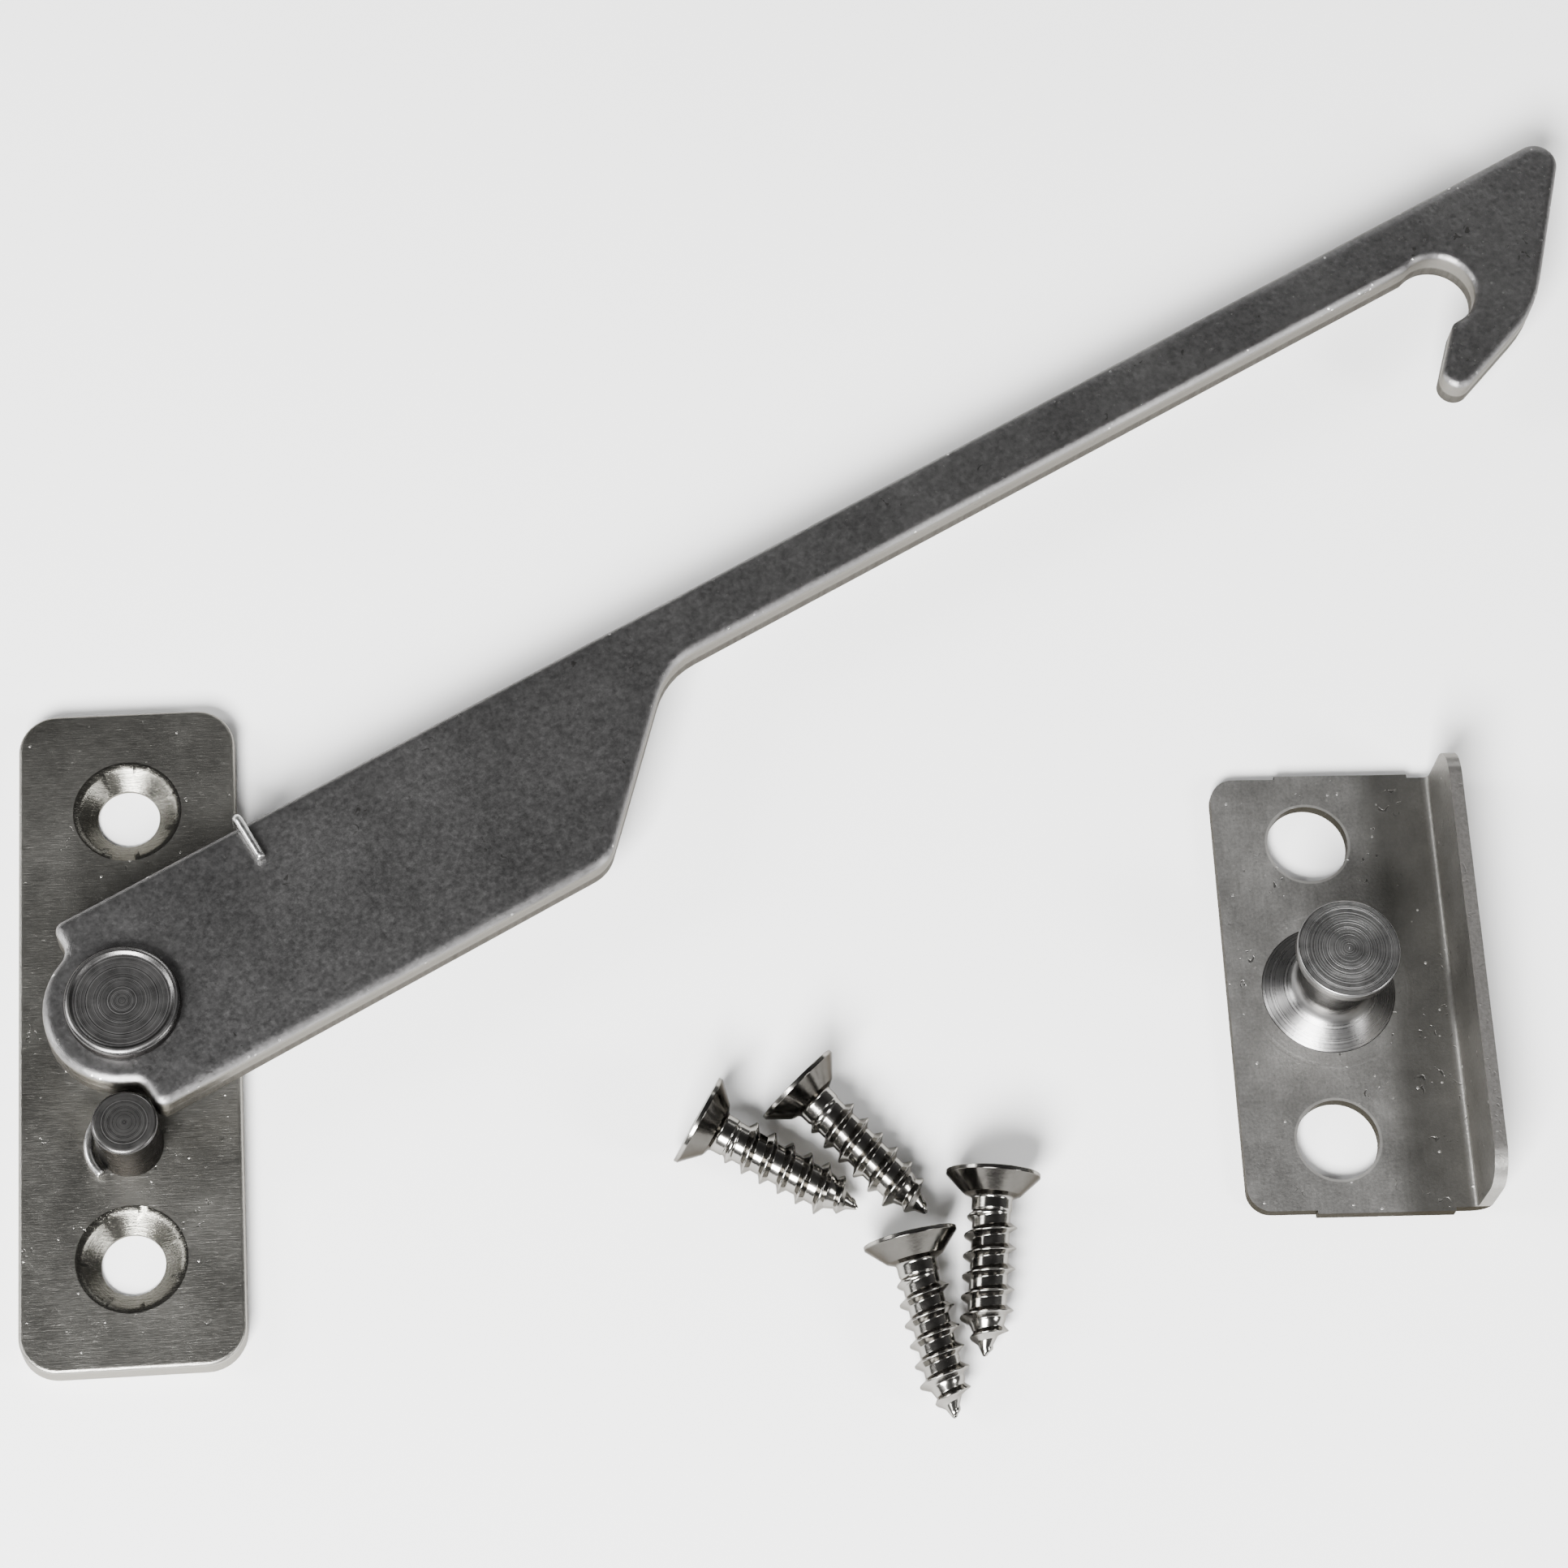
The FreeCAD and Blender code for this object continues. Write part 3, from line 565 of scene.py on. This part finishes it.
def catchPlateFinish(look):
    steel = Finish("satinCatchSteel", Metallic=1.0)
    centre = tuple(mm((*look["place"], 0)))
    spot = steel.place(centre=centre, turn=look["turn"])
    along = steel.place(centre=centre, turn=look["turn"], stretch=(12, 1, 12))
    x, z = steel.split(spot)[::2]
    upward = steel.upward()
    grain = steel.noise(along, 420, 4.0, 0.6)
    cloud = steel.noise(spot, 240, 5.0, 0.65)
    fine = steel.noise(spot, 3600, 3.0, 0.65)
    nicks = steel.nicks(spot, 1300, 0.1)
    # small bumps in the surface, also painted near white in colour: painted glints
    dentGlints = (1 - steel.cells(spot, 800).band(0.05, 0.12)) * steel.noise(spot, 700, 1.0).band(0.5, 0.58)
    pinAway = steel.away(tuple(mm((*look["pin"], 0))))
    ring = pinAway.band(*mm(look["ringIn"])) * (1 - pinAway.band(*mm(look["ringOut"])))
    wall = (1 - upward.math("ABSOLUTE").band(0.3, 0.7)) * (1 - z.band(*mm(look["wallTop"])))
    tone = ((cloud - 0.5) * 1.1 + (grain - 0.5) * 0.3 + (fine - 0.5) * 1.6 + 0.55).clipped()
    colour = steel.mix(tone, look["dark"], look["tone"])
    # painted shade: a dark band painted on the plate before the flange, and a lighter share of it over the
    # flange
    flange = x.band(*mm(look["flangeShadeEnd"]))
    shadeBeforeFlange = x.band(*mm(look["flangeShadeStart"])) * (1 - flange)
    colour = steel.mix((shadeBeforeFlange * 0.85 + flange * 0.6).clipped(), colour, look["band"])
    colour = steel.mix(nicks * 0.8, colour, (0.1, 0.097, 0.092))
    colour = steel.mix(dentGlints * 0.7, colour, (0.9, 0.88, 0.85))
    flat = steel.node("ShaderNodeVectorMath", {"operation": "MULTIPLY"}, {0: spot, 1: (1, 1, 0)})
    for place in look["holes"]:
        holeAway = steel.node("ShaderNodeVectorMath", {"operation": "DISTANCE"},
                              {0: flat, 1: (0, place * 0.001, 0)}, "Value")
        lit = (1 - holeAway.band(*mm(look["holeRim"]))) * upward.band(0.8, 0.95)
        colour = steel.mix(lit * 0.8, colour, (0.9, 0.88, 0.84))
    # painted shade: walls and hole walls below the plate's top darkened nearly to black
    colour = steel.mix(wall * 0.95, colour, look["edge"])
    rim = z.band(*mm(look["flangeTop"])) * upward.band(0.5, 0.9)
    colour = steel.mix(rim * (0.5 + fine * 0.8), colour, (0.12, 0.115, 0.11))
    roughness = look["roughness"] + (grain - 0.5) * 0.06 + (cloud - 0.5) * 0.15 + rim * 0.3
    relief = grain * 0.06 + fine * 0.9 + cloud * 0.4 - nicks * 0.8 + ring * 0.5 + dentGlints
    steel.feed(Base_Color=colour, Roughness=roughness, Normal=steel.bump(relief, 0.000025))
    return steel.material


catch = finishPiece("catchPlateSteel", smoothCopy("catch_plate", "catchPlateSteel"),
                    catchPlateFinish(catchPlate), "catch", "catch_plate")
weighNormals(catch)
print("catch plate done")


# ---- turned pieces ----

def turnedFinish(name, look):
    # concentric marks on faces that look up, which fade out on the sides; the sides are also painted darker
    # in colour, painted shade
    steel = Finish(name, Metallic=1.0)
    middle = tuple(mm((*look["centre"], 0)))
    spot = steel.place(centre=middle)
    path = steel.away(middle) + steel.split(spot)[2] * 0.7
    rings = steel.rings(path * (1000 / look["ringPitch"]))
    side = 1 - steel.upward().band(0.86, 0.96)
    tilted = steel.ringTilt(middle, (rings - 0.5) * (1 - side * 0.9) + 0.5, look["ringDepth"])
    cloud = steel.noise(spot, 700, 4.0, 0.6)
    fine = steel.noise(spot, 3500, 2.0, 0.6)
    tone = ((rings - 0.5) * 2.4 + cloud * 0.6 + 0.25).clipped()
    colour = steel.mix(tone, look["dark"], look["tone"])
    # painted shade: the sides are darkened towards a seventh of the tone
    colour = steel.mix(side * 0.9, colour, tuple(0.14 * c for c in look["tone"]))
    shine = look["roughness"] + (rings - 0.5) * 0.2 + (cloud - 0.5) * 0.15
    relief = fine * 0.6 + cloud
    steel.feed(Base_Color=colour, Roughness=shine, Normal=steel.bump(relief, 0.00001, normal=tilted))
    return steel.material


pivotRivet = {
    "centre": (0.0, 0.0),
    # radius, height and rounding of each corner, from the foot up
    "profile": [(0, 0, 0), (2.9, 0, 0.05), (2.0, 0.8, 0.2), (2.0, 2.0, 0), (2.8, 2.0, 0.05),
                (2.8, 7.55, 0.0), (4.7, 7.55, 0.3), (4.7, 8.95, 0.42), (4.2, 8.95, 0.08),
                (3.95, 8.78, 0.2), (0, 8.68, 0)],
    "tone": (0.46, 0.45, 0.445),
    "dark": (0.2, 0.197, 0.195),
    "roughness": 0.3,
    "ringPitch": 0.1,
    "ringDepth": 0.25,
}

stopStud = {
    "centre": (0.0, -10.0),
    "profile": [(0, 0, 0), (2.9, 0, 0.05), (2.0, 0.8, 0.2), (2.0, 2.0, 0), (2.65, 2.0, 0.05),
                (2.65, 7.75, 0.32), (0, 7.75, 0)],
    "tone": (0.36, 0.352, 0.345),
    "dark": (0.18, 0.176, 0.172),
    "roughness": 0.3,
    "ringPitch": 0.1,
    "ringDepth": 0.25,
}

catchPin = {
    "centre": (99.7, -1.416),
    "profile": [(0, 0, 0), (2.2, 0, 0), (2.2, 0.8, 0), (5.65, 0.8, 0.05), (5.65, 1.1, 0.12),
                (2.85, 2.9, 2.0), (2.85, 7.9, 0.3), (4.28, 9.4, 0.3), (4.28, 10.5, 0.25), (0, 10.5, 0)],
    "tone": (0.78, 0.77, 0.76),
    "dark": (0.2, 0.197, 0.193),
    "roughness": 0.3,
    "ringPitch": 0.075,
    "ringDepth": 1.5,
}

spacerBush = {
    "centre": (0.0, 0.0),
    "profile": [(3.55, 2.0), (3.55, 4.45), (2.85, 4.45), (2.85, 2.0)],
    "tone": (0.6, 0.59, 0.58),
    "dark": (0.38, 0.37, 0.36),
    "roughness": 0.35,
    "ringPitch": 0.15,
    "ringDepth": 0.2,
}


def makeTurned(look, name, body, nodeName):
    profile = spread(roundedProfile(look["profile"]), 0.25)
    mesh = gridMesh(name, lathe(profile[1:-1], look["centre"]))
    mesh.set_sharp_from_angle(angle=math.radians(38))
    finishPiece(name, mesh, turnedFinish(name + "Finish", look), body, nodeName)


makeTurned(pivotRivet, "pivotRivetHead", "base", "pivot_rivet")
makeTurned(stopStud, "stopStudPost", "base", "stop_stud")
makeTurned(catchPin, "catchPinPost", "catch", "catch_pin")


def makeBush(look):
    # the ring's section, four corners joined round, carried round the pivot
    section = np.array(look["profile"] + look["profile"][:1], float)
    ring = spread(section, 0.3)[:-1]
    mesh = ringMesh("spacerBushRing", lathe(ring, look["centre"], 96))
    mesh.set_sharp_from_angle(angle=math.radians(38))
    finishPiece("spacerBushRing", mesh, turnedFinish("bushFinish", look), "base", "spacer_bush")


makeBush(spacerBush)
print("turned pieces done")


# ---- torsion spring ----

torsionSpring = {
    "wire": 0.375,
    "coil": 4.6,
    "low": 2.435,
    "high": 4.065,
    "turns": 2,
    "stud": (0.0, -10.0),
    "wrap": 3.375,
    "wrapEnd": 226.0,
    "rest": 27.71,
    "edge": (15.75, 9.825),
    "bend": 0.65,
    "lapHeight": 7.975,
    "lap": 4.275,
    "tone": (0.72, 0.72, 0.71),
}


def circlePoint(radius, degrees, height, centre=(0.0, 0.0)):
    angle = np.radians(degrees)
    return np.stack([centre[0] + radius * np.cos(angle), centre[1] + radius * np.sin(angle),
                     height + 0 * angle], -1)


def bendPoints(corner, coming, leaving, radius, steps=9):
    middle = corner - coming * radius + leaving * radius
    angle = np.linspace(0, np.pi / 2, steps)[:, None]
    return middle + coming * radius * np.sin(angle) - leaving * radius * np.cos(angle)


def springLine(look):
    # the wire's centre line, and for each of its points how far it follows the arm: not at all on
    # the fixed leg, in step with the turns round the coil, and fully on the moving leg
    reach = look["coil"] + look["wrap"]
    start = -90 + math.degrees(math.acos(reach / -look["stud"][1]))
    hook = circlePoint(look["wrap"], np.linspace(look["wrapEnd"], start + 180, 40), look["low"],
                       look["stud"])
    edge = np.array(look["edge"])
    across = math.hypot(*edge)
    finish = look["rest"] + math.degrees(math.atan2(edge[1], edge[0]) - math.acos(look["coil"] / across))
    sweep = 360 * look["turns"] + (finish - start) % 360
    share = np.linspace(0, 1, 220)
    coil = circlePoint(look["coil"], start + sweep * share,
                       look["low"] + (look["high"] - look["low"]) * share)
    turn = math.radians(look["rest"])
    rotate = np.array([[math.cos(turn), -math.sin(turn), 0], [math.sin(turn), math.cos(turn), 0],
                       [0, 0, 1]])
    corner = rotate @ np.array([*edge, look["high"]])
    along = (corner - coil[-1]) / np.linalg.norm(corner - coil[-1])
    up, inward = np.array([0.0, 0, 1]), rotate @ np.array([0.0, -1, 0])
    topCorner = corner + up * (look["lapHeight"] - look["high"])
    leg = [bendPoints(corner, along, up, look["bend"]),
           bendPoints(topCorner, up, inward, look["bend"]),
           (topCorner + inward * look["lap"])[None]]
    legPoints = spread(np.concatenate([coil[-1:], *leg]), 0.4)[1:]
    fixedPoints = spread(np.concatenate([hook, coil[:1]]), 0.4)[:-1]
    line = np.concatenate([fixedPoints, coil, legPoints])
    follow = np.concatenate([np.zeros(len(fixedPoints)), share, np.ones(len(legPoints))])
    return line, follow


def tubeAlong(line, radius, sides=20, cap=0.12):
    # circles square to the line, each one's spokes carried over from the last with the least turning
    tangent = np.gradient(line, axis=0)
    tangent /= np.linalg.norm(tangent, axis=1)[:, None]
    spoke = np.cross(tangent[0], [0, 0, 1.0])
    spokes = []
    for direction in tangent:
        spoke = spoke - direction * (spoke @ direction)
        spoke = spoke / np.linalg.norm(spoke)
        spokes.append(spoke)
    spokes = np.array(spokes)
    others = np.cross(tangent, spokes)
    angle = np.linspace(0, 2 * np.pi, sides, endpoint=False)
    rings = line[:, None] + radius * (spokes[:, None] * np.cos(angle)[:, None]
                                      + others[:, None] * np.sin(angle)[:, None])
    firstRing = line[0] + (rings[0] - line[0]) * (1 - cap) - tangent[0] * cap * radius
    lastRing = line[-1] + (rings[-1] - line[-1]) * (1 - cap) + tangent[-1] * cap * radius
    return np.concatenate([firstRing[None], rings, lastRing[None]])


def springFinish(look):
    wire = Finish("drawnSpringWire", Metallic=1.0)
    spot = wire.place()
    fine = wire.noise(spot, 2500, 3.0)
    colour = wire.mix(fine.band(0.3, 0.7), tuple(0.7 * c for c in look["tone"]), look["tone"])
    wire.feed(Base_Color=colour, Roughness=0.22 + fine * 0.15, Normal=wire.bump(fine, 0.00001))
    return wire.material


def makeSpring(look):
    line, follow = springLine(look)
    points = tubeAlong(line, look["wire"])
    mesh = gridMesh("torsionSpringWire", mm(points))
    spring = finishPiece("torsionSpringWire", mesh, springFinish(look), None, "torsion_spring")
    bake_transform(spring, "base", "arm", start=(0, 0, 0.0024), end=(0, 0, 0.0041))
    perRing = np.repeat(np.concatenate([follow[:1], follow, follow[-1:]]), points.shape[1])
    weights = np.concatenate([perRing, [0.0, 1.0]]).astype(np.float32)
    mesh.attributes["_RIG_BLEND"].data.foreach_set("value", weights)


makeSpring(torsionSpring)
print("torsion spring done")


# ---- screws ----

screw = {
    "length": 15.0,
    "head": 3.85,
    "rim": 0.35,
    "cone": 1.5,
    "waist": 2.35,
    "under": 0.3,
    "neck": 1.65,
    "core": 1.55,
    "thread": 2.15,
    "pitch": 1.67,
    "collar": 3.1,
    "threadStart": 3.2,
    "threadFade": 0.7,
    "crest": 0.05,
    "flank": 0.42,
    "tip": 2.9,
    "recessArm": 2.2,
    "recessSlot": 0.85,
    "recessDepth": 1.6,
    "gap": 0.3,
    # first head's place and direction, the second one's step along it and turn from it
    "pairs": (((45.7, -10.9), -31.0, 5.8, -16.9), ((69.5, -16.8), -97.4, 5.9, 17.3)),
    "tone": (0.27, 0.262, 0.245),
    "shaded": (0.055, 0.052, 0.047),
    "coneStart": (0.2, 0.4),
    "coneEnd": (2.0, 2.25),
}


def screwSurface(look):
    # radius(height, angle) = core profile + a ridge that winds up by one pitch a turn; the head's
    # top is a disc whose depth follows the cross recess
    columns = 144
    angle = np.linspace(0, 2 * np.pi, columns, endpoint=False)
    outward = np.linspace(0.02, 1, 46) ** 0.8 * (look["head"] - 0.05)
    x, y = outward[:, None] * np.cos(angle), outward[:, None] * np.sin(angle)
    wide, long = look["recessSlot"] / 2, look["recessArm"]

    def inside(distance, limit, soft):
        return 1 / (1 + np.exp((np.abs(distance) - limit) / soft))

    cross = np.maximum(inside(x, long, 0.05) * inside(y, wide, 0.035),
                       inside(y, long, 0.05) * inside(x, wide, 0.035))
    cross = np.maximum(cross, inside(np.hypot(x, y), wide * 1.7, 0.05))
    depth = cross * look["recessDepth"] * np.clip(1.15 - np.hypot(x, y) / (long * 1.5), 0.25, 1)
    top = np.stack([x, y, depth], -1)
    body = roundedProfile([
        (look["head"] - 0.05, 0, 0), (look["head"], 0.05, 0), (look["head"], look["rim"], 0.08),
        (look["waist"], look["rim"] + look["cone"], 0.15),
        (look["neck"], look["rim"] + look["cone"] + look["under"], 0.3),
        (look["neck"], look["collar"], 0.1),
        (look["core"], look["collar"] + 0.15, 0.05), (look["core"], look["length"] - look["tip"], 1.5),
        (0.2, look["length"] - 0.1, 0.1), (0.0, look["length"], 0)])
    body = spread(body, 0.03)[1:-1]
    height, radius = body[:, 1][:, None], body[:, 0][:, None]
    turnShare = (height - look["threadStart"]) / look["pitch"] - angle / (2 * np.pi)
    phase = (turnShare - np.floor(turnShare) - 0.5) * look["pitch"]
    ridge = np.clip(1 - (np.abs(phase) - look["crest"]) / look["flank"], 0, 1) ** 1.15
    start, end = look["threadStart"], look["length"] - look["tip"]
    fadeIn = np.clip((height - start) / look["threadFade"], 0, 1)
    closing = np.clip((height - end - 0.1) / (look["tip"] - 0.3), 0, 1)
    crest = look["thread"] * (1 - 0.88 * closing ** 1.25)
    radius = np.maximum(radius, radius + ridge * fadeIn * (crest - radius))
    shank = np.stack([radius * np.cos(angle), radius * np.sin(angle), height + 0 * angle], -1)
    return np.concatenate([top, shank])


def screwPlaces(look):
    reach = look["length"] - look["tip"]
    tilt = math.atan((look["head"] - look["thread"]) / (reach - look["rim"]))
    lift = look["head"] * math.cos(tilt) + look["rim"] * math.sin(tilt)
    places = []
    for (x, y), heading, step, splay in look["pairs"]:
        side = -math.copysign(1, splay)
        shadeBeforeFlange = math.radians(abs(splay))
        besideHead = look["head"] * math.cos(shadeBeforeFlange) + look["thread"] + look["gap"]
        besidePoint = ((reach * math.cos(tilt) - step) * math.tan(shadeBeforeFlange)
                       + look["thread"] / math.cos(shadeBeforeFlange) + look["thread"] + look["gap"])
        across = side * max(besideHead, besidePoint)
        turned = math.radians(heading)
        places.append((x, y, heading))
        places.append((x + step * math.cos(turned) - across * math.sin(turned),
                       y + step * math.sin(turned) + across * math.cos(turned), heading + splay))
    return tilt, lift, places


def screwFinish(look):
    nickel = Finish("nickelPlate", Metallic=1.0)
    spot = nickel.place()
    cloud = nickel.noise(spot, 900, 3.0, 0.6)
    fine = nickel.noise(spot, 4200, 2.0, 0.6)
    colour = nickel.mix(cloud.band(0.3, 0.7), tuple(0.86 * c for c in look["tone"]), look["tone"])
    fromHead = nickel.node("ShaderNodeAttribute", {"attribute_name": "fromHead"}, output="Fac")
    cone = fromHead.band(*look["coneStart"]) * (1 - fromHead.band(*look["coneEnd"]))
    colour = nickel.mix(cone * (0.75 + cloud * 0.25), colour, look["shaded"])
    roughness = 0.08 + cloud * 0.12 + fine * 0.06
    nickel.feed(Base_Color=colour, Roughness=roughness, Normal=nickel.bump(cloud + fine * 0.3, 0.000006))
    return nickel.material


def makeScrews(look):
    finish = screwFinish(look)
    surface = screwSurface(look)
    tilt, lift, places = screwPlaces(look)
    for number, (x, y, heading) in enumerate(places, 1):
        turn, lean = math.radians(heading), math.pi / 2 + tilt
        about = np.array([[math.cos(turn), -math.sin(turn), 0], [math.sin(turn), math.cos(turn), 0],
                          [0, 0, 1]])
        over = np.array([[math.cos(lean), 0, math.sin(lean)], [0, 1, 0],
                         [-math.sin(lean), 0, math.cos(lean)]])
        points = surface @ (about @ over).T + np.array([x, y, lift])
        mesh = gridMesh(f"screw{number}Body", mm(points))
        heights = surface[..., 2].ravel()
        fromHead = mesh.attributes.new("fromHead", "FLOAT", "POINT")
        fromHead.data.foreach_set("value", np.append(heights, [0, look["length"]]).astype(np.float32))
        mesh.set_sharp_from_angle(angle=math.radians(48))
        finishPiece(f"screw{number}Body", mesh, finish, f"screw_{number}", f"screw_{number}")


makeScrews(screw)
print("screws done")


# ---- end ----

print("all pieces made")
